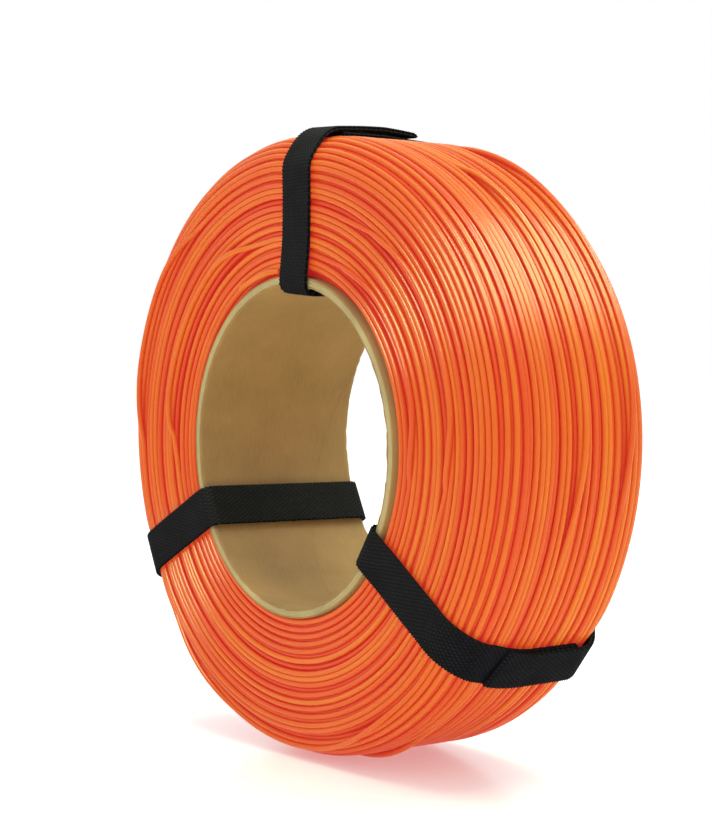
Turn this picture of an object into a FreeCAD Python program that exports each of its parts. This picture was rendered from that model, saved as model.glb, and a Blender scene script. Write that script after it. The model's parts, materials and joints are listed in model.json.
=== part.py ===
import FreeCAD, Part
import math
import os
import Sketcher

# A spool-less refill coil of 3-D printing filament.
#
# Frame: the coil stands upright. Its axis runs along Y with the front face towards -Y, +Z is up,
# and the origin is the middle of the core's bore. Millimetres and degrees throughout.
#
# A spiral-wound board core carries the winding. Three hook-and-loop straps are wrapped round the
# section of the ring. Each strap is two tapes back to back, and closes on the crown with a tail
# that lies over its own band.

doc = FreeCAD.newDocument("FilamentRefill")

# ---------------------------------------------------------------- driving dimensions
DIMENSIONS = [
    ("bore_radius", 50.0, "bore of the board core"),
    ("core_length", 59.8, "length of the core along its axis"),
    ("liner_ply", 0.5, "thickness of the smooth inner ply"),
    ("board_ply", 1.8, "thickness of the grey board plies together"),
    ("outer_ply", 0.5, "thickness of the outer wrap"),
    ("filament_diameter", 1.75, "filament"),
    ("turn_pitch", 2.4, "spacing of the outermost turns along the surface"),
    ("winding_radius", 98.0, "crest of the outermost turns"),
    ("winding_width", 59.4, "across the crests of the two face layers"),
    ("shoulder_radius", 11.5, "rounding of the winding between face and crown"),
    ("layer_clearance", 0.05, "air between neighbouring parts of the coil"),
    ("strap_width", 13.0, "width of the tape"),
    ("hook_layer", 0.7, "thickness of the hook side of the tape"),
    ("loop_layer", 0.8, "thickness of the loop side of the tape"),
    ("bore_standoff", 0.8, "how far the flat tape stands off the bore at its middle"),
    ("rim_bend", 0.6, "inner bend of the tape round the core's rim"),
    ("tail_root", 17.5, "from the middle of the coil to a tail's root, along the axis"),
    ("tail_reach", 13.0, "from the middle of the coil to a tail's free end, on the other side"),
    ("tail_gap", 0.3, "space between a tail and the band below it"),
    ("band_slot", 0.8, "slot between the band's inner end and the start of the tail"),
    ("inner_end_start", 97.0, "angle where the filament's inner end leaves the top strap"),
    ("inner_end_sweep", 30.0, "angle that the inner end covers"),
    ("outer_end_start", 186.0, "angle of the filament's outer cut end"),
    ("outer_end_sweep", 13.0, "angle from the outer cut end to the left strap"),
    ("outer_end_place", 6.0, "the outer end's place along the axis"),
]

# Angle of each strap round the axis, from +X towards +Z, and the side that its tail comes up from.
FRONT, BACK = -1, 1
STRAPS = [("top", 86.5, FRONT), ("right", -38.0, BACK), ("left", 205.0, BACK)]

sheet = doc.addObject("Spreadsheet::Sheet", "Dimensions")
for row, (alias, value, note) in enumerate(DIMENSIONS, start=1):
    sheet.set("A%d" % row, alias)
    sheet.set("B%d" % row, str(value))
    sheet.set("C%d" % row, note)
    sheet.setAlias("B%d" % row, alias)
for row, (name, angle, _) in enumerate(STRAPS, start=len(DIMENSIONS) + 1):
    sheet.set("A%d" % row, "%s_strap_angle" % name)
    sheet.set("B%d" % row, str(angle))
    sheet.set("C%d" % row, "place of the %s strap round the axis" % name)
    sheet.setAlias("B%d" % row, "%s_strap_angle" % name)
doc.recompute()

DIM = "Dimensions."
CORE_OUTSIDE = "(%sbore_radius + %sliner_ply + %sboard_ply + %souter_ply)" % (DIM, DIM, DIM, DIM)
BAND_SIDE = "(%score_length / 2 + %slayer_clearance)" % (DIM, DIM)
BAND_TOP = "(%swinding_radius + %slayer_clearance)" % (DIM, DIM)
BAND_FOOT = "(%sbore_radius - %sbore_standoff)" % (DIM, DIM)
TAPE = "(%shook_layer + %sloop_layer)" % (DIM, DIM)


def value(expression):
    """Number that an expression of the sheet's cells gives."""
    names = {alias: sheet.get(alias) for alias, _, _ in DIMENSIONS}
    text = expression.replace(DIM, "")
    for alias in sorted(names, key=len, reverse=True):
        text = text.replace(alias, repr(float(names[alias])))
    return float(FreeCAD.Units.Quantity(text).Value)


# ---------------------------------------------------------------- sketch helpers
def new_body(label):
    body = doc.addObject("PartDesign::Body", label)
    body.Label = label
    return body


def origin_plane(body, role):
    for feature in body.Origin.OriginFeatures:
        if feature.Role == role:
            return feature
    raise ValueError("no origin plane %s" % role)


def new_sketch(body, name, role):
    sketch = body.newObject("Sketcher::SketchObject", name)
    sketch.AttachmentSupport = [(origin_plane(body, role), "")]
    sketch.MapMode = "FlatFace"
    return sketch


def bind(sketch, index, name, expression):
    sketch.renameConstraint(index, name)
    sketch.setExpression("Constraints." + name, expression)


def circle(sketch, name, radius, centre_x=None, centre_y=None):
    """Circle on the sketch's origin, or at a bound place, with a bound radius."""
    place_x = value(centre_x) if centre_x else 0.0
    place_y = value(centre_y) if centre_y else 0.0
    centre = FreeCAD.Vector(place_x, place_y, 0)
    ring = sketch.addGeometry(Part.Circle(centre, FreeCAD.Vector(0, 0, 1), value(radius)))
    if centre_x is None:
        sketch.addConstraint(Sketcher.Constraint("Coincident", ring, 3, -1, 1))
    else:
        across = sketch.addConstraint(Sketcher.Constraint("DistanceX", -1, 1, ring, 3, place_x))
        bind(sketch, across, name + "_across", centre_x)
        along = sketch.addConstraint(Sketcher.Constraint("DistanceY", -1, 1, ring, 3, place_y))
        bind(sketch, along, name + "_up", centre_y)
    index = sketch.addConstraint(Sketcher.Constraint("Radius", ring, value(radius)))
    bind(sketch, index, name, radius)


def rounded_frame(sketch, name, side, foot, top, foot_bend, top_bend):
    """Closed outline, symmetric about the vertical axis, with four rounded corners."""
    half = value(side)
    low = value(foot)
    high = value(top)
    small = value(foot_bend)
    large = value(top_bend)

    def point(across, up):
        return FreeCAD.Vector(across, up, 0)

    corners = [
        (half - large, high - large, large, 0.0),
        (-half + large, high - large, large, 90.0),
        (-half + small, low + small, small, 180.0),
        (half - small, low + small, small, 270.0),
    ]
    arcs = []
    for across, up, bend, start in corners:
        full = Part.Circle(point(across, up), FreeCAD.Vector(0, 0, 1), bend)
        first = math.radians(start)
        arcs.append(sketch.addGeometry(Part.ArcOfCircle(full, first, first + math.pi / 2)))
    runs = [
        (point(half - large, high), point(-half + large, high)),
        (point(-half, high - large), point(-half, low + small)),
        (point(-half + small, low), point(half - small, low)),
        (point(half, low + small), point(half, high - large)),
    ]
    lines = [sketch.addGeometry(Part.LineSegment(*run)) for run in runs]
    for number in range(4):
        after = (number + 1) % 4
        sketch.addConstraint(Sketcher.Constraint("Tangent", arcs[number], 2, lines[number], 1))
        sketch.addConstraint(Sketcher.Constraint("Tangent", lines[number], 2, arcs[after], 1))
    sketch.addConstraint(Sketcher.Constraint("Vertical", lines[1]))
    sketch.addConstraint(Sketcher.Constraint("Equal", arcs[0], arcs[1]))
    sketch.addConstraint(Sketcher.Constraint("Equal", arcs[2], arcs[3]))
    sketch.addConstraint(Sketcher.Constraint("Symmetric", lines[2], 1, lines[2], 2, -2))
    sized = [
        ("top_bend", Sketcher.Constraint("Radius", arcs[0], large), top_bend),
        ("foot_bend", Sketcher.Constraint("Radius", arcs[2], small), foot_bend),
        ("side", Sketcher.Constraint("DistanceX", -1, 1, lines[3], 1, half), side),
        ("foot", Sketcher.Constraint("DistanceY", -1, 1, lines[2], 1, low), foot),
        ("top", Sketcher.Constraint("DistanceY", -1, 1, lines[0], 1, high), top),
    ]
    for part_name, constraint, expression in sized:
        bind(sketch, sketch.addConstraint(constraint), name + "_" + part_name, expression)


def rectangle(sketch, name, left, right, foot, top):
    """Closed rectangle with its four sides bound."""
    west, east, south, north = value(left), value(right), value(foot), value(top)
    spots = [(west, south), (east, south), (east, north), (west, north)]
    corners = [FreeCAD.Vector(across, up, 0) for across, up in spots]
    sides = []
    for number in range(4):
        line = Part.LineSegment(corners[number], corners[(number + 1) % 4])
        sides.append(sketch.addGeometry(line))
    for number in range(4):
        after = sides[(number + 1) % 4]
        sketch.addConstraint(Sketcher.Constraint("Coincident", sides[number], 2, after, 1))
    for number, kind in enumerate(["Horizontal", "Vertical", "Horizontal", "Vertical"]):
        sketch.addConstraint(Sketcher.Constraint(kind, sides[number]))
    sized = [
        ("left", Sketcher.Constraint("DistanceX", -1, 1, sides[0], 1, west), left),
        ("right", Sketcher.Constraint("DistanceX", -1, 1, sides[1], 1, east), right),
        ("foot", Sketcher.Constraint("DistanceY", -1, 1, sides[0], 1, south), foot),
        ("top", Sketcher.Constraint("DistanceY", -1, 1, sides[2], 1, north), top),
    ]
    for part_name, constraint, expression in sized:
        bind(sketch, sketch.addConstraint(constraint), name + "_" + part_name, expression)


def pad_both_ways(body, sketch, length):
    pad = body.newObject("PartDesign::Pad", "Pad")
    pad.Profile = sketch
    pad.SideType = "Symmetric"
    pad.setExpression("Length", length)
    body.Tip = pad
    return pad


# ---------------------------------------------------------------- core
def core_ply(label, inside, outside):
    """One layer of the board tube."""
    body = new_body(label)
    sketch = new_sketch(body, "Section", "XZ_Plane")
    circle(sketch, "inside", inside)
    circle(sketch, "outside", outside)
    pad_both_ways(body, sketch, DIM + "core_length")
    return body


# ---------------------------------------------------------------- winding
def turn_centre(distance, stretches, half, top, bend):
    """Point on the line through the outermost turns' centres, and the way out of the winding."""
    face_run, arc_run, crown_run = stretches
    whole = 2 * face_run + 2 * arc_run + crown_run
    mirrored = distance > whole / 2
    if mirrored:
        distance = whole - distance
    if distance <= face_run:
        centre = (-half, top - bend - face_run + distance)
        away = (-1.0, 0.0)
    elif distance <= face_run + arc_run:
        angle = (distance - face_run) / bend
        away = (-math.cos(angle), math.sin(angle))
        centre = (bend - half + bend * away[0], top - bend + bend * away[1])
    else:
        centre = (bend - half + distance - face_run - arc_run, top)
        away = (0.0, 1.0)
    if mirrored:
        return (-centre[0], centre[1]), (-away[0], away[1])
    return centre, away


def winding_outline(inside, crest, width, shoulder, strand, pitch):
    """Half section of the winding, with one round rib for each turn of its outermost layer."""
    reach = strand / 2
    half = width / 2 - reach
    top = crest - reach
    bend = shoulder - reach
    stretches = (top - bend - inside - reach, bend * math.pi / 2, 2 * (half - bend))
    whole = 2 * stretches[0] + 2 * stretches[1] + stretches[2]
    turns = round(whole / pitch)

    edges = []
    valley = FreeCAD.Vector(0, -half, inside)
    first_valley = valley
    for number in range(turns + 1):
        centre, away = turn_centre(number * whole / turns, stretches, half, top, bend)
        middle = FreeCAD.Vector(0, *centre)
        out = FreeCAD.Vector(0, *away)
        onward = FreeCAD.Vector(0, away[1], -away[0])
        rise = middle - onward * reach
        fall = middle + onward * reach
        if rise.distanceToPoint(valley) > 1e-6:
            edges.append(Part.LineSegment(valley, rise).toShape())
        edges.append(Part.Arc(rise, middle + out * reach, fall).toShape())
        valley = fall
    edges.append(Part.LineSegment(valley, first_valley).toShape())
    return Part.Wire(edges)


def filament_winding():
    """All the wound turns as one ring, ribbed by the turns of its outermost layer."""
    outline = winding_outline(
        value(CORE_OUTSIDE + " + %slayer_clearance" % DIM),
        value(DIM + "winding_radius"),
        value(DIM + "winding_width"),
        value(DIM + "shoulder_radius"),
        value(DIM + "filament_diameter"),
        value(DIM + "turn_pitch"),
    )
    winding = doc.addObject("Part::Feature", "filament_winding")
    winding.Label = "filament_winding"
    section = Part.Face(outline)
    winding.Shape = section.revolve(FreeCAD.Vector(0, 0, 0), FreeCAD.Vector(0, 1, 0), 360)
    winding.Placement = FreeCAD.Placement()
    return winding


def turn_round_axis(body, angle):
    """Turn a body from the top of the coil to its own angle round the coil's axis."""
    body.Placement = FreeCAD.Placement(
        FreeCAD.Vector(0, 0, 0), FreeCAD.Rotation(FreeCAD.Vector(0, 1, 0), 90)
    )
    body.setExpression("Placement.Rotation.Angle", "90 - (%s)" % angle)


def filament_end(label, place, distance, start, sweep):
    """A cut end of the filament: part of a turn that lies on the winding."""
    body = new_body(label)
    sketch = new_sketch(body, "Strand", "YZ_Plane")
    circle(sketch, "strand", DIM + "filament_diameter / 2", place, distance)
    turn = body.newObject("PartDesign::Revolution", "Turn")
    turn.Profile = sketch
    turn.ReferenceAxis = (sketch, ["H_Axis"])
    turn.Midplane = True
    turn.setExpression("Angle", sweep)
    body.Tip = turn
    turn_round_axis(body, "%s + %s / 2" % (start, sweep))
    return body


# ---------------------------------------------------------------- straps
def between(side, near, far):
    """Two places along the axis in ascending order, for the strap whose tail comes from a side."""
    if side == BACK:
        return near, far
    return "-(%s)" % far, "-(%s)" % near


def tape_band(label, inner_offset, outer_offset, angle, side):
    """One layer of a strap, wrapped once round the section of the ring."""
    body = new_body(label)
    sketch = new_sketch(body, "Wrap", "YZ_Plane")
    for name, offset in (("inner", inner_offset), ("outer", outer_offset)):
        rounded_frame(
            sketch,
            name,
            "%s + %s" % (BAND_SIDE, offset),
            "%s - %s" % (BAND_FOOT, offset),
            "%s + %s" % (BAND_TOP, offset),
            "%srim_bend + %s" % (DIM, offset),
            "%sshoulder_radius + %s" % (DIM, offset),
        )
    pad_both_ways(body, sketch, DIM + "strap_width")
    doc.recompute()
    whole_volume = body.Shape.Volume

    slot_sketch = new_sketch(body, "SlotOutline", "YZ_Plane")
    rectangle(
        slot_sketch,
        "slot",
        *between(side, "%stail_root - %sband_slot" % (DIM, DIM), DIM + "tail_root"),
        "%s - %s" % (BAND_TOP, TAPE),
        "%s + 2 * %s" % (BAND_TOP, TAPE),
    )
    slot = body.newObject("PartDesign::Pocket", "Slot")
    slot.Profile = slot_sketch
    slot.SideType = "Symmetric"
    slot.setExpression("Length", "2 * %sstrap_width" % DIM)
    body.Tip = slot
    turn_round_axis(body, angle)
    doc.recompute()
    if not body.Shape.Volume < whole_volume:
        raise RuntimeError("%s: the slot cut nothing" % label)
    return body


def tape_tail(label, inner_offset, outer_offset, angle, side):
    """One layer of the strap's free end, lying over its own band on the crown."""
    body = new_body(label)
    sketch = new_sketch(body, "Side", "YZ_Plane")
    seat = "%s + %s + %stail_gap" % (BAND_TOP, TAPE, DIM)
    rectangle(
        sketch,
        "tail",
        *between(side, "-%stail_reach" % DIM, DIM + "tail_root"),
        "%s + %s" % (seat, inner_offset),
        "%s + %s" % (seat, outer_offset),
    )
    pad_both_ways(body, sketch, DIM + "strap_width")
    turn_round_axis(body, angle)
    return body


def strap(name, side):
    """The four pieces of one strap: a band and a tail, each of a loop and a hook layer."""
    angle = "%s%s_strap_angle" % (DIM, name)
    layers = [
        ("loop", "0", DIM + "loop_layer"),
        ("hook", DIM + "loop_layer", TAPE),
    ]
    pieces = []
    for layer, inner_offset, outer_offset in layers:
        band = "strap_%s_band_%s" % (name, layer)
        tail = "strap_%s_tail_%s" % (name, layer)
        pieces.append(tape_band(band, inner_offset, outer_offset, angle, side))
        pieces.append(tape_tail(tail, inner_offset, outer_offset, angle, side))
    return pieces


# ---------------------------------------------------------------- the whole coil
LINER_OUTSIDE = "%sbore_radius + %sliner_ply" % (DIM, DIM)
BOARD_OUTSIDE = "%s + %sboard_ply" % (LINER_OUTSIDE, DIM)
pieces = [
    core_ply("core_inner_liner", DIM + "bore_radius", LINER_OUTSIDE),
    core_ply("core_board", LINER_OUTSIDE, BOARD_OUTSIDE),
    core_ply("core_outer_wrap", BOARD_OUTSIDE, CORE_OUTSIDE),
    filament_winding(),
    filament_end(
        "filament_inner_end",
        "-(%swinding_width / 2 + %sfilament_diameter / 2 + %slayer_clearance)" % (DIM, DIM, DIM),
        "%s + %sfilament_diameter" % (CORE_OUTSIDE, DIM),
        DIM + "inner_end_start",
        DIM + "inner_end_sweep",
    ),
    filament_end(
        "filament_outer_end",
        DIM + "outer_end_place",
        "%swinding_radius + %sfilament_diameter / 2 + %slayer_clearance" % (DIM, DIM, DIM),
        DIM + "outer_end_start",
        DIM + "outer_end_sweep",
    ),
]
for strap_name, _, tail_side in STRAPS:
    pieces.extend(strap(strap_name, tail_side))
doc.recompute()

for item in doc.Objects:
    if "Invalid" in item.State or "Error" in item.State:
        raise RuntimeError("%s failed: %s" % (item.Label, item.State))
for piece in pieces:
    if piece.Shape.isNull() or not piece.Shape.isValid():
        raise RuntimeError("%s has no valid shape" % piece.Label)
    if len(piece.Shape.Solids) != 1:
        raise RuntimeError("%s is %d solids" % (piece.Label, len(piece.Shape.Solids)))

os.makedirs("parts", exist_ok=True)
for piece in pieces:
    piece.Shape.exportStep("parts/%s.step" % piece.Label)
    box = piece.Shape.BoundBox
    print("%-24s %10.1f mm3  x %.1f..%.1f  y %.1f..%.1f  z %.1f..%.1f" % (
        piece.Label, piece.Shape.Volume, box.XMin, box.XMax, box.YMin, box.YMax, box.ZMin, box.ZMax))
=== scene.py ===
import json
import math

import bpy
import numpy as np
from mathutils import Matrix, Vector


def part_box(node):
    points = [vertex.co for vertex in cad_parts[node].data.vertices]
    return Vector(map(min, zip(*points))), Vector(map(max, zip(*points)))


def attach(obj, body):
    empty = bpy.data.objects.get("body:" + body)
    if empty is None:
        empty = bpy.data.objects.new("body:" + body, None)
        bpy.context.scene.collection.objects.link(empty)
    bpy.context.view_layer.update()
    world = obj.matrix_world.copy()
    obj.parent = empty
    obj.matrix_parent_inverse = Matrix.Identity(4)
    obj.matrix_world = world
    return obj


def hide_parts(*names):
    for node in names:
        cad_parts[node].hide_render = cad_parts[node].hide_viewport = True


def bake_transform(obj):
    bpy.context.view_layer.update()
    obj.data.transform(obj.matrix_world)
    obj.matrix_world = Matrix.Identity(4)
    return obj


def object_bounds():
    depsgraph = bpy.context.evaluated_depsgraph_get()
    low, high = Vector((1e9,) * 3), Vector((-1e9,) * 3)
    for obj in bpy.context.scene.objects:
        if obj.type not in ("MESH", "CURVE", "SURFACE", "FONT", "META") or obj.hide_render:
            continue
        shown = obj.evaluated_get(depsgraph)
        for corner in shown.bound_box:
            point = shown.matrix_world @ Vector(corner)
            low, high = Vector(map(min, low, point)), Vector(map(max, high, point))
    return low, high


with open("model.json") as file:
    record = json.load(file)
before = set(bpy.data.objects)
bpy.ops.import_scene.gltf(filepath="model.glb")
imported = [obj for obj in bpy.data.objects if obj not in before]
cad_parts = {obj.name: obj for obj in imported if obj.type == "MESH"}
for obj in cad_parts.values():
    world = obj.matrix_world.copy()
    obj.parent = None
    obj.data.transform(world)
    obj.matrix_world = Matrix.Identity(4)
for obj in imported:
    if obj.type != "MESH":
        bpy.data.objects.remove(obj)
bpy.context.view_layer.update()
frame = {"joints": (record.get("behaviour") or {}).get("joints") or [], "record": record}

# A spool-less refill coil of filament, standing on its rim. The coil's axis is Y, the front face
# looks towards -Y, and angles run round the axis from +X towards +Z. Metres.

MM = 0.001
TURN = 2 * math.pi
SEED = 7
random = np.random.default_rng(SEED)


# ---------------------------------------------------------------- sizes read from the frame
def radius_of(node):
    low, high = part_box(node)
    return (high.z - low.z) / 2


def half_width_of(node):
    low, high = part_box(node)
    return (high.y - low.y) / 2


MOUNTS = {mount["name"]: mount for mount in frame["record"]["mounts"]}
BORE_RADIUS = MOUNTS["core_bore"]["dims"]["r_mm"] * MM
LINER_RADIUS = radius_of("core_inner_liner")
BOARD_RADIUS = radius_of("core_board")
CORE_RADIUS = radius_of("core_outer_wrap")
CORE_HALF = half_width_of("core_board")
WINDING_RADIUS = radius_of("filament_winding")
WINDING_HALF = half_width_of("filament_winding")
# The radius of the winding's shoulders, which no box in the frame gives.
SHOULDER = 11.5 * MM

# The middle of each strap's hinge, by the strap's name, and from it the strap's angle round the
# axis and the side (-1 front, 1 back) that its tail comes up from.
HINGES = {joint["name"].split("_")[1]: np.array(joint["pos_m"]) for joint in frame["joints"]}
STRAP_ANGLES = {label: math.atan2(hinge[2], hinge[0]) for label, hinge in HINGES.items()}
TAIL_SIDES = {label: math.copysign(1, hinge[1]) for label, hinge in HINGES.items()}
# Each strap is wound a little askew: its turn round the axis at the front of the bore and on the
# crown, in degrees, and the share of the front face over which it keeps the first one.
ASKEW = {"top": (-1.9, 1.1, 0.0), "right": (4.0, -0.7, 0.9), "left": (0.6, 1.4, 0.0)}
# How hard each strap pulls the winding in.
TIGHTNESS = {"top": 1.0, "right": 0.35, "left": 0.6}


# ---------------------------------------------------------------- camera
AZIMUTH = math.radians(52.85)
ELEVATION = math.radians(2.66)
DISTANCE = 0.63
# The lens and the sensor are in millimetres, and the shift in widths of the sensor.
FOCAL_LENGTH = 86.55
SENSOR_WIDTH = 36
SHIFT = (-0.0108, 0.0383)
NEAREST_SEEN = 10 * MM


def add_camera():
    """The camera looks at the middle of the bore; the shift sets the coil low in the frame."""
    data = bpy.data.cameras.new("camera")
    data.sensor_width = SENSOR_WIDTH
    data.lens = FOCAL_LENGTH
    data.shift_x, data.shift_y = SHIFT
    data.clip_start = NEAREST_SEEN
    camera = bpy.data.objects.new("camera", data)
    back = np.array([
        math.sin(AZIMUTH) * math.cos(ELEVATION),
        -math.cos(AZIMUTH) * math.cos(ELEVATION),
        math.sin(ELEVATION),
    ])
    camera.location = tuple(back * DISTANCE)
    camera.rotation_euler = (math.pi / 2 - ELEVATION, 0, AZIMUTH)
    bpy.context.collection.objects.link(camera)
    bpy.context.scene.camera = camera


add_camera()


# ---------------------------------------------------------------- materials
def new_material(name, roughness, **sockets):
    """A principled material whose numbers that are the same all over sit on the shader itself."""
    material = bpy.data.materials.new(name)
    material.use_nodes = True
    shader = material.node_tree.nodes["Principled BSDF"]
    shader.inputs["Roughness"].default_value = roughness
    for socket, value in sockets.items():
        shader.inputs[socket.replace("_", " ")].default_value = value
    return material


def node(material, kind, inputs=(), **settings):
    """A node of a kind, with its settings and inputs given; an input is a number or an output."""
    made = material.node_tree.nodes.new(kind)
    for setting, value in settings.items():
        setattr(made, setting, value)
    for socket, value in dict(inputs).items():
        if isinstance(value, bpy.types.NodeSocket):
            material.node_tree.links.new(value, made.inputs[socket])
        else:
            made.inputs[socket].default_value = value
    return made


def place(material):
    return node(material, "ShaderNodeTexCoord").outputs["Object"]


def attribute(material, name):
    return node(material, "ShaderNodeAttribute", attribute_name=name).outputs["Fac"]


def calculate(material, operation, first, second=0.0):
    return node(material, "ShaderNodeMath", {0: first, 1: second}, operation=operation).outputs[0]


def noise(material, vector, scale, detail=4.0, roughness=0.55):
    inputs = {"Vector": vector, "Scale": scale, "Detail": detail, "Roughness": roughness}
    return node(material, "ShaderNodeTexNoise", inputs).outputs["Fac"]


def wave(material, value, pitch):
    """Goes from 0 to 1 and back once in every pitch of the value."""
    turned = calculate(material, "MULTIPLY", value, TURN / pitch)
    cosine = calculate(material, "COSINE", turned)
    half = calculate(material, "MULTIPLY", cosine, 0.5)
    return calculate(material, "ADD", half, 0.5)


def scaled(material, vector, scale):
    mapping = node(material, "ShaderNodeMapping", {"Vector": vector})
    mapping.inputs["Scale"].default_value = scale
    return mapping.outputs["Vector"]


def combined(material, x, y):
    return node(material, "ShaderNodeCombineXYZ", {"X": x, "Y": y}).outputs["Vector"]


def between(material, value, low, high, start=0.0, end=1.0):
    inputs = {"Value": value, "From Min": start, "From Max": end, "To Min": low, "To Max": high}
    return node(material, "ShaderNodeMapRange", inputs).outputs["Result"]


def colours(material, factor, first, second):
    mixed = node(material, "ShaderNodeMix", data_type="RGBA")
    material.node_tree.links.new(factor, mixed.inputs["Factor"])
    for socket, value in ((mixed.inputs[6], first), (mixed.inputs[7], second)):
        if isinstance(value, bpy.types.NodeSocket):
            material.node_tree.links.new(value, socket)
        else:
            socket.default_value = (*value, 1)
    return mixed.outputs[2]


def bump(material, height, distance, strength):
    inputs = {"Height": height, "Distance": distance, "Strength": strength}
    return node(material, "ShaderNodeBump", inputs).outputs["Normal"]


def finish_material(material, colour, roughness, normal=None):
    shader = material.node_tree.nodes["Principled BSDF"]
    for socket, value in (("Base Color", colour), ("Roughness", roughness), ("Normal", normal)):
        if value is not None:
            material.node_tree.links.new(value, shader.inputs[socket])
    return material


def filament_material():
    """Glossy orange plastic; each turn has its own slight shade and drawn surface. The light that
    a clear plastic carries into its grooves is given as a faint red glow."""
    material = new_material(
        "filament", 0.3, Specular_IOR_Level=0.16,
        Emission_Color=(1.0, 0.02, 0.04, 1), Emission_Strength=0.30,
    )
    where = place(material)
    drift = between(material, noise(material, where, 35, 2), -0.3, 0.3)
    shade = calculate(material, "ADD", attribute(material, "shade"), drift)
    colour = colours(material, shade, (0.38, 0.055, 0.002), (0.42, 0.138, 0.004))
    grain = noise(material, where, 400, 2)
    roughness = between(material, noise(material, where, 160), 0.20, 0.28)
    return finish_material(material, colour, roughness, bump(material, grain, 0.00002, 0.1))


def paper_material(name, pale, dark, fibre):
    """Paper or board: long fibres one way, blotches, and a dull, slightly rough surface."""
    material = new_material(name, 0.85, Specular_IOR_Level=0.2)
    where = place(material)
    flat = combined(material, attribute(material, "around"), attribute(material, "along"))
    fibres = noise(material, scaled(material, flat, (260, 1500, 1)), 1.0, 5)
    blotches = noise(material, where, 45, 3)
    specks = noise(material, where, 700, 2)
    base = colours(material, between(material, blotches, 0, 1, 0.3, 0.7), dark, pale)
    streaks = between(material, fibres, 0, 0.35, 0.45, 0.8)
    colour = colours(material, streaks, base, fibre)
    colour = colours(material, between(material, specks, 0, 0.4, 0.66, 0.8), colour, dark)
    height = calculate(material, "ADD", fibres, calculate(material, "MULTIPLY", specks, 0.5))
    roughness = between(material, fibres, 0.78, 0.95)
    return finish_material(material, colour, roughness, bump(material, height, 0.00008, 0.7))


def tape_material(name, fuzz):
    """Black woven tape: staggered rows of yarns, and a little lint; the weave's hollows are painted
    darker than its crests, as painted shade.
    """
    material = new_material(name, 0.75, Specular_IOR_Level=0.04)
    where = place(material)
    ribs = between(material, wave(material, attribute(material, "along"), 2 * RIB_PITCH), -1, 1)
    yarns = between(material, wave(material, attribute(material, "across"), YARN_PITCH), -1, 1)
    weave = between(material, calculate(material, "MULTIPLY", ribs, yarns), 0, 1, -0.3, 0.8)
    lint = noise(material, where, 1800, 3)
    uneven = noise(material, where, 120, 3)
    # Painted shade: the hollows of the weave are painted darker than its crests; the uneven part is
    # random tone.
    weave_shade_and_tone = calculate(material, "MULTIPLY", weave, between(material, uneven, 0.3, 1.0, 0.3, 0.7))
    colour = colours(material, weave_shade_and_tone, (0.0022, 0.0020, 0.0028), (0.0145, 0.0127, 0.0210))
    linty = between(material, lint, 0, fuzz, 0.55, 0.8)
    colour = colours(material, linty, colour, (0.014, 0.0125, 0.020))
    height = calculate(material, "ADD", weave, calculate(material, "MULTIPLY", lint, 0.6 + fuzz))
    roughness = between(material, lint, 0.6, 0.9)
    return finish_material(material, colour, roughness, bump(material, height, 0.00016, 0.9))


def floor_material():
    """Glossy white sheet, lit a little from below, as on a light table."""
    material = new_material(
        "floor", 0.2, IOR=1.3,
        Emission_Color=(1, 1, 1, 1), Emission_Strength=0.27,
    )
    where = place(material)
    slow = noise(material, where, 3, 2)
    colour = colours(material, slow, (0.76, 0.76, 0.76), (0.80, 0.80, 0.80))
    roughness = between(material, noise(material, where, 14, 2), 0.19, 0.24)
    return finish_material(material, colour, roughness)


# ---------------------------------------------------------------- mesh helpers
def smooth_step(value):
    value = np.clip(value, 0, 1)
    return value * value * (3 - 2 * value)


def unit(vectors):
    return vectors / np.linalg.norm(vectors, axis=1)[:, None]


def round_axis(radial, angle, axial):
    """XYZ of points or directions, from how far off the axis, round it and along it they lie."""
    return np.stack([radial * np.cos(angle), axial, radial * np.sin(angle)], -1)


def new_piece(name, points, faces, material, attributes=None):
    mesh = bpy.data.meshes.new(name)
    mesh.from_pydata([tuple(point) for point in points], [], faces)
    mesh.update()
    mesh.shade_smooth()
    for attribute_name, values in (attributes or {}).items():
        layer = mesh.attributes.new(attribute_name, "FLOAT", "POINT")
        layer.data.foreach_set("value", np.asarray(values, np.float32).reshape(-1))
    mesh.materials.append(material)
    piece = bpy.data.objects.new(name, mesh)
    bpy.context.collection.objects.link(piece)
    return piece


def grid_faces(rows, columns, close_columns=False, close_rows=False):
    """Quads of a grid of points stored row by row."""
    faces = []
    last_row = rows if close_rows else rows - 1
    last_column = columns if close_columns else columns - 1
    for row in range(last_row):
        below = row * columns
        above = ((row + 1) % rows) * columns
        for column in range(last_column):
            after = (column + 1) % columns
            faces.append((below + column, below + after, above + after, above + column))
    return faces


def capped_grid(rows, columns):
    """Quads of a tube stored ring by ring, with a face closing each end."""
    faces = grid_faces(rows, columns, close_columns=True)
    faces.append(tuple(range(columns - 1, -1, -1)))
    last = (rows - 1) * columns
    faces.append(tuple(range(last, last + columns)))
    return faces


def tube(centres, outward, radius, sides):
    """Points and quads of a capped round tube. outward is a unit vector across each centre."""
    along = unit(np.gradient(centres, axis=0))
    outward = unit(outward - (outward * along).sum(1)[:, None] * along)
    across = np.cross(along, outward)
    angles = (np.arange(sides) * TURN / sides)[None, :, None]
    ring = np.cos(angles) * outward[:, None] + np.sin(angles) * across[:, None]
    points = (centres[:, None] + radius * ring).reshape(-1, 3)
    return points, capped_grid(len(centres), sides)


# ---------------------------------------------------------------- shape of the winding
# How far the crown is out of round: the cosine and sine parts, in millimetres, of one, two, three
# and four waves to a turn.
LOBES = ((0.4, 1.3), (1.4, -0.4), (0.7, 0.9), (-0.2, 0.2))
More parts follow.
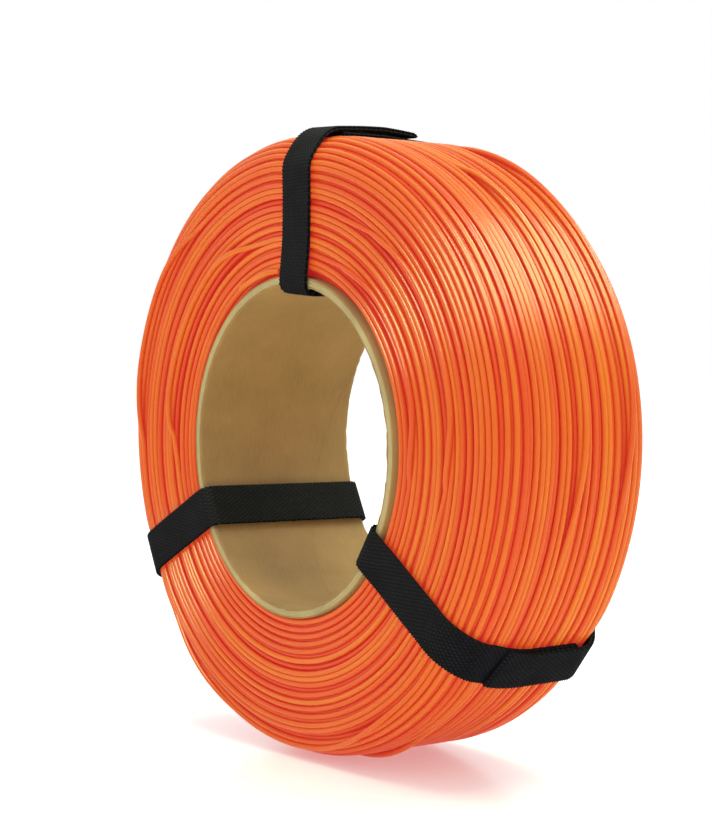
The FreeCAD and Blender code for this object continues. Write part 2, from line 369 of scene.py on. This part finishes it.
# How far a tight strap pulls the winding in at the front of the crown, and how many times as much
# more at its back; how far it pulls in the shoulders, and the share of that at the front one; and
# how far round the coil its pull reaches.
PINCH = 1.3 * MM
BACK_PINCH = 1.3
CORNER_PINCH = 2.0 * MM
FRONT_CORNER = 0.3
PINCH_REACH = math.radians(5.5)


def lobe(angle):
    """How far the crown stands out of a true circle, in metres."""
    out = np.zeros_like(angle)
    for order, (cosine, sine) in enumerate(LOBES, start=1):
        out += cosine * np.cos(order * angle) + sine * np.sin(order * angle)
    return out * MM


def strap_angle(label, share):
    """A strap's angle round the axis; share is 0 at the front of the bore and 1 on the crown."""
    in_bore, on_crown, _ = ASKEW[label]
    return STRAP_ANGLES[label] + np.radians(in_bore + (on_crown - in_bore) * share)


def under_strap(angle):
    """1 right under a tight strap, fading to 0 on both sides of it."""
    total = np.zeros_like(angle)
    for label, tightness in TIGHTNESS.items():
        away = (angle - strap_angle(label, 1) + math.pi) % TURN - math.pi
        total += tightness * np.exp(-((away / PINCH_REACH) ** 2))
    return total


# The outline is the line along which the outermost turns' centres lie: up the front face from the
# core, round the shoulder, along the crown, and down the back.
STRAND = 1.75 * MM
REACH = STRAND / 2
LAYER_HALF = WINDING_HALF - REACH
LAYER_TOP = WINDING_RADIUS - REACH
LAYER_BEND = SHOULDER - REACH
FACE_RUN = LAYER_TOP - LAYER_BEND - CORE_RADIUS - REACH
ARC_RUN = LAYER_BEND * math.pi / 2
CROWN_RUN = 2 * (LAYER_HALF - LAYER_BEND)
WHOLE_RUN = 2 * FACE_RUN + 2 * ARC_RUN + CROWN_RUN
FACE_BULGE = 0.5 * MM


def outline(distance):
    """Place along the axis, distance from it, and outward direction, along the outermost turns."""
    mirrored = distance > WHOLE_RUN / 2
    run = np.where(mirrored, WHOLE_RUN - distance, distance)
    turned = np.clip((run - FACE_RUN) / LAYER_BEND, 0, math.pi / 2)
    on_face = np.minimum(run - FACE_RUN, 0)
    on_crown = np.maximum(run - FACE_RUN - ARC_RUN, 0)
    axial = -LAYER_HALF + LAYER_BEND * (1 - np.cos(turned)) + on_crown
    height = LAYER_TOP - LAYER_BEND + LAYER_BEND * np.sin(turned) + on_face
    side = np.where(mirrored, -1.0, 1.0)
    return axial * side, height, -np.cos(turned) * side, np.sin(turned)


def on_section(distance, angle, lift):
    """As outline(), with the winding's bulges and dents, and raised off the outermost turns."""
    axial, height, away_axis, away_radial = outline(distance)
    share = (height - CORE_RADIUS) / (LAYER_TOP - CORE_RADIUS)
    under = under_strap(angle)
    back = np.maximum(axial, 0) / LAYER_HALF
    corner = (2 * away_axis * away_radial) ** 2
    height = height + (lobe(angle) - PINCH * under * (1 + BACK_PINCH * back)) * share
    bulge = FACE_BULGE * np.sin(np.pi * np.clip(share, 0, 1)) * (1 - under)
    axial = axial + np.sign(axial) * bulge
    lift = lift - CORNER_PINCH * under * corner * (FRONT_CORNER + back)
    return axial + away_axis * lift, height + away_radial * lift, away_axis, away_radial


def on_coil(distance, angle, lift):
    """Points and outward directions at a distance along the outline and an angle round the axis."""
    axial, height, away_axis, away_radial = on_section(distance, angle, lift)
    return round_axis(height, angle, axial), round_axis(away_radial, angle, away_axis)


# ---------------------------------------------------------------- the wound turns
TURN_PITCH = 2.5 * MM
TURNS = int(WHOLE_RUN / TURN_PITCH)
# The places to a turn, how close two turns may lie, how many times they are pushed apart, and
# between which pushes, and how often, they are smoothed.
STEPS = 180
CLOSEST = 0.985 * STRAND
PUSHES = 70
SMOOTHED_PUSHES = range(3, 50, 6)
# How far the turns wander off an even pitch: slowly, quickly, and in waves round the coil.
SLOW_DRIFT = 0.95 * MM
QUICK_DRIFT = 0.35 * MM
WAVE_DRIFT = 0.6 * MM
WAVE_TWIST = 9.0
# The stretches between the straps, where a turn may lie over its neighbour, and the shortest and
# longest of such crossings. Degrees.
BETWEEN_STRAPS = ((98, 194), (215, 313), (-24, 78))
CROSSING_LENGTHS = (62, 94)
# The turns are cut into three pieces, front, crown and back, at these shares of their number.
PIECE_ENDS = (0.32, 0.68)
TURN_SIDES = 10
NESTLED_SIDES = 6
# Shades of orange run from 0, the redder, to 1, the yellower.
TURN_SHADE = 0.55
# Painted shade: the nestled turns are painted redder and darker than the outermost ones, as the
# shade in the grooves.
NESTLED_PAINTED_SHADE = 0.15
# Painted shade: the packed mass of turns is painted darker and redder still, as the shade deep in
# the grooves.
PACKED_PAINTED_SHADE = 0.1
# Painted light: the loose ends are painted yellower than the turns, as if lit where they lie on top
# of them.
END_PAINTED_LIGHT = 0.8
SHADE_DRIFT = 0.25
# How far a nestled turn is from the two it lies between, how far below them it is at the least, and
# how far below them the solid mass of turns begins.
NESTLED_REACH = 0.99 * STRAND
NESTLED_DEPTH = 0.45 * STRAND
PACKED_DEPTH = 1.35 * STRAND
# Every turn is counted from under the left strap, which hides where one run of turns ends.
ROW_START = STRAP_ANGLES["left"] % TURN


def wandering(length, spacing, amount):
    """Smooth random values along a line, with a new value for every so many points."""
    knots = random.normal(0, amount, int(length / spacing) + 4)
    where = np.arange(length) / spacing
    first = where.astype(int)
    part = smooth_step(where - first)
    return knots[first] * (1 - part) + knots[first + 1] * part


def smoothed(values):
    padded = np.pad(values, 2, mode="edge")
    return (padded[:-4] + 2 * padded[1:-3] + 3 * padded[2:-2] + 2 * padded[3:-1] + padded[4:]) / 9


def lay_turns():
    """Distance along the outline of each turn (row) at each angle (column).

    The turns are one helix, so each row starts where the row before it ends. They drift and bunch
    together, and are then pushed apart, and smoothed now and then, until they hardly overlap."""
    count = TURNS * STEPS
    even = (np.arange(count) + 0.5) / count * WHOLE_RUN
    placed = even + wandering(count, STEPS * 0.9, SLOW_DRIFT)
    placed = placed + wandering(count, STEPS * 0.25, QUICK_DRIFT)
    angle = np.arange(count) / STEPS * TURN
    for order in (1, 2, 3):
        phase = random.uniform(0, TURN)
        waves = np.sin(order * angle + phase + even / WHOLE_RUN * WAVE_TWIST)
        placed += waves * WAVE_DRIFT / order
    for attempt in range(PUSHES):
        rows = placed.reshape(TURNS, STEPS)
        short = np.maximum(CLOSEST - np.diff(rows, axis=0), 0) / 2
        rows[:-1] -= short
        rows[1:] += short
        placed = np.clip(rows.reshape(-1), 0, WHOLE_RUN)
        if attempt in SMOOTHED_PUSHES:
            placed = smoothed(placed)
    return placed.reshape(TURNS, STEPS)


def lift_over_neighbour(rows, lift, turn, start, end):
    """One turn leaves its place, lies over its neighbour between two angles and comes back."""
    ramp = STEPS / 12
    first = (math.radians(start) - ROW_START) % TURN / TURN * STEPS
    columns = np.arange(round(first), round(first + (end - start) / 360 * STEPS) + 1)
    flat = turn * STEPS + columns
    share = smooth_step(np.minimum(columns - columns[0], columns[-1] - columns) / ramp)
    every = rows.reshape(-1)
    groove = (every[flat + STEPS] + every[flat + 2 * STEPS]) / 2
    moved = every[flat] * (1 - share) + groove * share
    height = np.zeros(len(flat))
    for neighbour in (1, 2, 3):
        apart = np.abs(every[flat + neighbour * STEPS] - moved)
        height = np.maximum(height, np.sqrt(np.maximum(STRAND ** 2 - apart ** 2, 0)))
    every[flat] = moved
    lift.reshape(-1)[flat] = height


def turn_tube(name, distance, lift, first, last, sides, middle_shade, material):
    """A run of the helix, from one turn to another, as one round tube of about the given shade."""
    part = slice(first * STEPS, min(last * STEPS + 1, len(distance)))
    index = np.arange(len(distance))[part]
    centres, outward = on_coil(distance[part], ROW_START + index / STEPS * TURN, lift[part])
    points, faces = tube(centres, outward, REACH, sides)
    shade = middle_shade + wandering(len(index), STEPS * 0.6, SHADE_DRIFT)
    piece = new_piece(name, points, faces, material, {"shade": np.repeat(shade, sides)})
    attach(piece, "coil")
    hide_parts("filament_winding")


def winding_turns(material):
    """The outermost turns and those nestled in the grooves below them, in three runs each.
    The nestled turns are painted redder and darker than the outermost: painted shade in the
    grooves.
    """
    rows = lay_turns()
    bounded = np.concatenate([rows[:1] - CLOSEST, rows, rows[-1:] + CLOSEST])
    apart = np.diff(bounded, axis=0)
    nest = np.clip((bounded[1:] + bounded[:-1]) / 2, 0, WHOLE_RUN).reshape(-1)
    depth = np.sqrt(np.maximum(NESTLED_REACH ** 2 - (apart / 2) ** 2, 0)).reshape(-1)
    depth = np.maximum(depth, NESTLED_DEPTH)
    lift = np.zeros_like(rows)
    turn = 2
    while turn < TURNS - 5:
        low, high = BETWEEN_STRAPS[random.integers(len(BETWEEN_STRAPS))]
        length = random.uniform(*CROSSING_LENGTHS)
        start = random.uniform(low, high - length)
        lift_over_neighbour(rows, lift, turn, start, start + length)
        turn += random.integers(2, 5)
    limits = [0, *(round(share * TURNS) for share in PIECE_ENDS), TURNS]
    outermost = rows.reshape(-1), lift.reshape(-1)
    for label, first, last in zip(("front", "crown", "back"), limits[:-1], limits[1:]):
        turn_tube("turns_" + label, *outermost, first, last, TURN_SIDES, TURN_SHADE, material)
        # There is one more nestled turn than there are outermost ones.
        last = last + 1 if last == TURNS else last
        name = "nestled_turns_" + label
        turn_tube(name, nest, -depth, first, last, NESTLED_SIDES, NESTLED_PAINTED_SHADE, material)


def packed_turns(material):
    """The mass of turns inside, seen only through the deepest grooves, painted a dark red as
    painted shade.
    """
    angle = np.linspace(0, TURN, 140, endpoint=False)
    runs, angles = np.meshgrid(np.linspace(0, WHOLE_RUN, 64), angle)
    outer, _ = on_coil(runs, angles, np.full_like(runs, -PACKED_DEPTH))
    ends = [-1, 0]
    foot = round_axis(CORE_RADIUS + 0.1 * MM, angles[:, ends], outer[:, ends, 1])
    ring = np.concatenate([outer, foot], axis=1)
    faces = grid_faces(*ring.shape[:2], close_columns=True, close_rows=True)
    points = ring.reshape(-1, 3)
    # Painted shade: the packed turns get a dark red tint.
    shade = np.full(len(points), PACKED_PAINTED_SHADE)
    piece = new_piece("packed_turns", points, faces, material, {"shade": shade})
    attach(piece, "coil")
    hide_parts("filament_winding")


def loose_end(name, start, end, distance, lift, material):
    """A cut end of the filament lying on the winding, between two angles in degrees.

    It springs up a little by its cut face, at the start, and dives in over its last quarter."""
    share = np.linspace(0, 1, 60)
    angle = np.radians(np.linspace(start, end, 60))
    spring = 0.3 * MM * smooth_step((0.3 - share) / 0.3)
    height = lift * (1 - smooth_step((share - 0.75) / 0.25)) + spring
    centres, outward = on_coil(np.full_like(share, distance), angle, height)
    points, faces = tube(centres, outward, REACH, 16)
    # Painted light: the loose end is tinted yellower than the turns it lies on.
    shade = np.full(len(points), END_PAINTED_LIGHT)
    piece = new_piece(name + "_strand", points, faces, material, {"shade": shade})
    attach(piece, "coil")
    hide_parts("filament_" + name)


# ---------------------------------------------------------------- core
# The liner's spiral seam: its advance in a turn, its angle at the back, and its groove's width and
# depth.
SEAM_PITCH = 120 * MM
SEAM_START = math.radians(152)
SEAM_GAP = 0.3 * MM
SEAM_DEPTH = 0.06 * MM
BOARD_PLIES = 4
# How far the tube's cut edges wear, and how far each ply's edge swells.
LINER_WEAR = 0.12 * MM
PLY_WEAR = 0.05 * MM
PLY_SWELL = 0.07 * MM


def new_ring(name, section, angles, seam_turn, material, node_name):
    """A closed ring. section(angle) gives (axial, radius) round the section for every angle, and
    seam_turn(axial) how far the ring is turned at each place along its axis."""
    axial, radius = section(angles)
    turned = angles[:, None] + seam_turn(axial)
    points = round_axis(radius, turned, axial)
    rows, columns = axial.shape
    faces = grid_faces(rows, columns, close_columns=True, close_rows=True)
    attributes = {"around": turned * BORE_RADIUS, "along": axial + (radius - BORE_RADIUS)}
    piece = new_piece(name, points.reshape(-1, 3), faces, material, attributes)
    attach(piece, "coil")
    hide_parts(node_name)


def core_liner(material):
    """The paper inside the tube: one strip wound in a spiral, whose edges meet in a fine seam."""
    near = np.array([-3, -1.2, -0.5, -0.2, 0, 0.2, 0.5, 1.2, 3]) * SEAM_GAP / BORE_RADIUS
    even = np.linspace(near[-1], TURN + near[0], 150)[1:-1]
    angles = np.concatenate([near, even])
    inner = np.linspace(CORE_HALF, -CORE_HALF, 48)
    edge_wear = LINER_WEAR * random.normal(0, 1, (len(angles), 2))

    def section(angle):
        away = np.abs(np.where(angle > math.pi, angle - TURN, angle)) * BORE_RADIUS / SEAM_GAP
        groove = SEAM_DEPTH * np.exp(-((away / 0.45) ** 2))
        lip = SEAM_DEPTH * 0.6 * np.exp(-(((away - 1.1) / 0.7) ** 2)) * (angle < math.pi)
        wall = BORE_RADIUS + (groove - lip)[:, None] + np.zeros_like(inner)
        axial = np.repeat(inner[None], len(angle), 0)
        axial[:, 0] += edge_wear[:, 0]
        axial[:, -1] += edge_wear[:, 1]
        outer = np.full_like(axial, LINER_RADIUS - 0.02 * MM)
        return np.concatenate([axial, axial[:, ::-1]], 1), np.concatenate([wall, outer], 1)

    def seam_turn(axial):
        return SEAM_START + (CORE_HALF - axial) / SEAM_PITCH * TURN

    new_ring(
        "core_inner_liner_paper", section, angles, seam_turn,
        material, "core_inner_liner",
    )


def core_ply(name, inside, outside, plies, material, node_name):
    """A ring of the tube's wall whose cut edges show its plies, each worn differently."""
    angles = np.linspace(0, TURN, 360, endpoint=False)
    across = np.linspace(0, 1, 4 * plies + 1)
    front = np.zeros((len(angles), len(across)))
    back = np.zeros_like(front)
    for ply in range(plies):
        inner_part = (across >= ply / plies) & (across <= (ply + 1) / plies)
        crowned = PLY_SWELL * np.sin(np.pi * (across[inner_part] * plies - ply))
        for face in (front, back):
            worn = wandering(len(angles), 7, PLY_WEAR)
            worn = worn * np.minimum(1, np.arange(len(angles))[::-1] / 10)
            face[:, inner_part] = crowned + worn[:, None]

    def section(angle):
        radius = inside + (outside - inside) * across
        low = -CORE_HALF - front
        high = CORE_HALF + back
        radii = np.repeat(np.concatenate([radius, radius[::-1]])[None], len(angle), 0)
        return np.concatenate([low, high[:, ::-1]], 1), radii

    new_ring(name, section, angles, np.zeros_like, material, node_name)


def add_core():
    kraft = paper_material(
        "kraft_paper",
        pale=(0.355, 0.182, 0.060), dark=(0.265, 0.139, 0.045), fibre=(0.42, 0.24, 0.095),
    )
    board = paper_material(
        "grey_board",
        pale=(0.43, 0.320, 0.150), dark=(0.31, 0.228, 0.10), fibre=(0.54, 0.43, 0.26),
    )
    core_liner(kraft)
    core_ply(
        "core_board_plies", LINER_RADIUS, BOARD_RADIUS, BOARD_PLIES,
        board, "core_board",
    )
    core_ply(
        "core_outer_wrap_paper", BOARD_RADIUS, CORE_RADIUS, 1,
        kraft, "core_outer_wrap",
    )


# ---------------------------------------------------------------- straps
STRAP_WIDTH = 13 * MM
HOOK_LAYER = 0.7 * MM
LOOP_LAYER = 0.8 * MM
TAPE = HOOK_LAYER + LOOP_LAYER
TAPE_GAP = 0.08 * MM
RIB_PITCH = 1.0 * MM
RIB_HEIGHT = 0.13 * MM
RIB_TOOTH = 0.35 * MM
YARN_PITCH = 1.3 * MM
STEPS_PER_RIB = 4
PATH_STEP = RIB_PITCH / STEPS_PER_RIB
# How far a strap stands off the bore and the core's rims, and the radius of its bend between them.
BORE_STANDOFF = 1.5 * MM
RIM_STANDOFF = 0.4 * MM
RIM_BEND = 2.2 * MM
# Places on the crown, measured along the axis towards a tail's root: the band's start under the
# tail, where the tail and the band part, and the ramp by which the tape climbs onto the band.
TAIL_LOW, TAIL_HIGH = (corner.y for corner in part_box("strap_right_tail_hook"))
START_PLACE = TAIL_HIGH - 0.6 * MM
SPLIT_PLACE = TAIL_HIGH + 3.5 * MM
RAMP_START = TAIL_HIGH + 13 * MM
RAMP_END = TAIL_HIGH + 0.5 * MM
# The end of a tail is pressed to so much of its thickness over the last bit of its length.
TAPER = 1.5 * MM
PRESSED = 0.55
# How far each tail bows up off its band at the most; its end stays a little proud too.
TAIL_BOW = {"top": 0.95 * MM, "right": 0.05 * MM, "left": 0.25 * MM}


def askew_share(label, run):
    """0 where a strap leaves the bore in front, 1 at the crown's middle, then a little more."""
    half = WHOLE_RUN / 2
    start = ASKEW[label][2] * FACE_RUN
    return smooth_step((run - start) / (half - start)) + 0.15 * smooth_step((run - half) / half)


def strap_path(label):
    """Middle of a strap's inner face, and the direction away from the coil there, as rows of XYZ.

    It starts under the tail, crosses the crown, goes down one face, through the bore, up the other
    face, over the shoulder and onto its own start, where it is the tail."""
    side = TAIL_SIDES[label]
    half = WHOLE_RUN / 2
    rim = CORE_HALF + RIM_STANDOFF

    def around(first, last, lift):
        """Along the coil between two distances, measured for a tail that comes from the back."""
        measured = np.linspace(first, last, 900)
        run = measured if side > 0 else WHOLE_RUN - measured
        angle = strap_angle(label, askew_share(label, run))
        axial, height, _, _ = on_section(run, angle, lift(measured))
        near_rim = 1 - smooth_step((height - CORE_RADIUS) / (12 * MM))
        missing = near_rim * np.maximum(rim - np.abs(axial), 0)
        return np.stack([axial + np.sign(axial) * missing, height, angle], 1)

    def first_layer(measured):
        return np.full_like(measured, REACH + TAPE_GAP)

    def second_layer(measured):
        rise = smooth_step((RAMP_START - (measured - half)) / (RAMP_START - RAMP_END))
        along_tail = np.clip((half + SPLIT_PLACE - measured) / (SPLIT_PLACE - TAIL_LOW), 0, 1)
        bow = TAIL_BOW[label] * np.sin(0.8 * np.pi * along_tail)
        return REACH + TAPE_GAP + (TAPE + TAPE_GAP) * rise + bow

    down = around(half + START_PLACE, 0, first_layer)
    up = around(WHOLE_RUN, half + TAIL_LOW, second_layer)
    corner = np.radians(np.linspace(0, 90, 9))
    in_bore = BORE_RADIUS - BORE_STANDOFF
    turn_in = np.stack([
        -side * (rim - RIM_BEND + RIM_BEND * np.cos(corner)),
        in_bore + RIM_BEND - RIM_BEND * np.sin(corner),
        np.full_like(corner, down[-1, 2]),
    ], 1)
    turn_out = turn_in[::-1] * (-1, 1, 0) + (0, 0, up[0, 2])
    flat = even_steps(np.concatenate([down, turn_in, turn_out, up]), PATH_STEP)
    axial, height, angle = flat.T
    slope = unit(np.gradient(flat[:, :2], axis=0) * side)
    return round_axis(height, angle, axial), round_axis(-slope[:, 0], angle, slope[:, 1])


def even_steps(path, step):
    """Points evenly spaced along a polyline, by the distance in its first two columns."""
    lengths = np.linalg.norm(np.diff(path[:, :2], axis=0), axis=1)
    along = np.concatenate([[0], np.cumsum(lengths)])
    wanted = np.arange(0, along[-1], step)
    return np.stack([np.interp(wanted, along, path[:, axis]) for axis in range(path.shape[1])], 1)


def tape_piece(name, path, row, inner, outer, ribbed, material):
    """A layer of a strap: a flat ribbon along the path, ribbed across, with rounded, toothed edges.

    row numbers the places of the path that are used, PATH_STEP apart."""
    centre, away = (values[row] for values in path)
    forward = unit(np.gradient(centre, axis=0))
    sideways = unit(np.cross(forward, away))
    away = np.cross(sideways, forward)
    rib = 0.5 + 0.5 * np.cos(row * TURN / STEPS_PER_RIB)
    across = np.array([-1, -0.985, -0.93, -0.5, 0, 0.5, 0.93, 0.985, 1])
    crest = np.array([0.5, 0.9, 1, 1, 1, 1, 1, 0.9, 0.5])
    to_end = (len(path[0]) - 1 - row[:, None]) * PATH_STEP
    pressed = PRESSED + (1 - PRESSED) * smooth_step(to_end / TAPER)
    relief = ribbed * RIB_HEIGHT * (rib[:, None] - 0.7) * crest ** 2
    top = (inner + (outer - inner) * crest) * pressed + relief
    tooth = ribbed * RIB_TOOTH * rib[:, None] * np.sign(across) * (np.abs(across) > 0.9)
    half = STRAP_WIDTH / 2
    under = np.repeat(half * np.array([[0.97, 0, -0.97]]), len(row), 0)
    out = np.concatenate([half * across + tooth, under], 1)
    up = np.concatenate([top, np.repeat(inner * pressed, 3, 1)], 1)
    points = centre[:, None] + out[..., None] * sideways[:, None] + up[..., None] * away[:, None]
    along = np.repeat(row[:, None] * PATH_STEP, up.shape[1], 1)
    attributes = {"along": along, "across": out}
    faces = capped_grid(*up.shape)
    return new_piece(name, points.reshape(-1, 3), faces, material, attributes)


def add_strap(label, hook, loop):
    """Both layers of a strap, each in two pieces, band and tail, that meet at the tail's root."""
    side = TAIL_SIDES[label]
    path = strap_path(label)
    length = len(path[0])
    beyond = path[0][:, 1] * side > SPLIT_PLACE
    split = (length - np.argmax(beyond[::-1])) // 2 * 2
    layers = (("hook", 1, LOOP_LAYER, TAPE, 1.0, hook), ("loop", 2, 0, LOOP_LAYER, 0.3, loop))
    for layer, step, inner, outer, ribbed, material in layers:
        rows = np.arange(0, split + 1, step)
        band = tape_piece(f"{label}_band_{layer}", path, rows, inner, outer, ribbed, material)
        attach(band, "coil")
        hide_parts(f"strap_{label}_band_{layer}")
        rows = np.arange(split, length, step)
        tail = tape_piece(f"{label}_tail_{layer}", path, rows, inner, outer, ribbed, material)
        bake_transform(tail)
        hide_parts(f"strap_{label}_tail_{layer}")


# ---------------------------------------------------------------- light and floor
FLOOR_HALF = 6.0
FLOOR_POINTS = 41
# Colours of light that show the orange plastic and its gloss as the photo does.
DIFFUSE_COLOUR = (0.72, 1.0, 0.7)
GLOSS_COLOUR = (0.85, 0.92, 0.56)


def add_floor(level):
    edge = np.linspace(-FLOOR_HALF, FLOOR_HALF, FLOOR_POINTS)
    x, y = np.meshgrid(edge, edge)
    points = np.stack([x, y, np.full_like(x, level)], -1).reshape(-1, 3)
    faces = grid_faces(FLOOR_POINTS, FLOOR_POINTS)
    floor = new_piece("floor", points, faces, floor_material())


def add_area_light(name, location, size, power, colour, diffuse=True, gloss=True):
    """A rectangular light that faces the coil, unseen by the camera."""
    data = bpy.data.lights.new(name, "AREA")
    data.shape = "RECTANGLE"
    data.size, data.size_y = size
    data.energy = power
    data.color = colour
    light = bpy.data.objects.new(name, data)
    light.location = location
    light.rotation_euler = (-light.location).to_track_quat("-Z", "Y").to_euler()
    light.visible_camera = False
    light.visible_diffuse = diffuse
    light.visible_glossy = gloss
    bpy.context.collection.objects.link(light)


def add_light():
    """An all-round white studio, lit a little more from above, and two soft boxes for the gloss."""
    world = bpy.data.worlds.new("studio")
    bpy.context.scene.world = world
    world.use_nodes = True
    background = world.node_tree.nodes["Background"]
    background.inputs["Color"].default_value = (1, 1, 1, 1)
    background.inputs["Strength"].default_value = 1.0
    add_area_light(
        "top_panel", location=(0.0, 0.2, 1.2), size=(1.2, 1.2), power=27,
        colour=DIFFUSE_COLOUR, gloss=False,
    )
    add_area_light(
        "crown_soft_box", location=(0.6, 0.25, 1.0), size=(1.8, 0.7), power=110,
        colour=GLOSS_COLOUR, diffuse=False,
    )
    add_area_light(
        "face_soft_box", location=(0.25, -0.95, 0.90), size=(0.8, 0.6), power=85,
        colour=GLOSS_COLOUR, diffuse=False,
    )
    bpy.context.scene.view_settings.view_transform = "Standard"


# ---------------------------------------------------------------- build
orange = filament_material()
winding_turns(orange)
packed_turns(orange)
loose_end("inner_end", 116, 96, 1.1 * MM, STRAND, orange)
loose_end("outer_end", 186, 199.5, WHOLE_RUN / 2 + 6 * MM, STRAND, orange)
add_core()
hook_material = tape_material("hook_tape", 0.25)
loop_material = tape_material("loop_tape", 0.6)
for strap_label in HINGES:
    add_strap(strap_label, hook_material, loop_material)
add_light()
visual_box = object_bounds()
add_floor(visual_box[0][2])
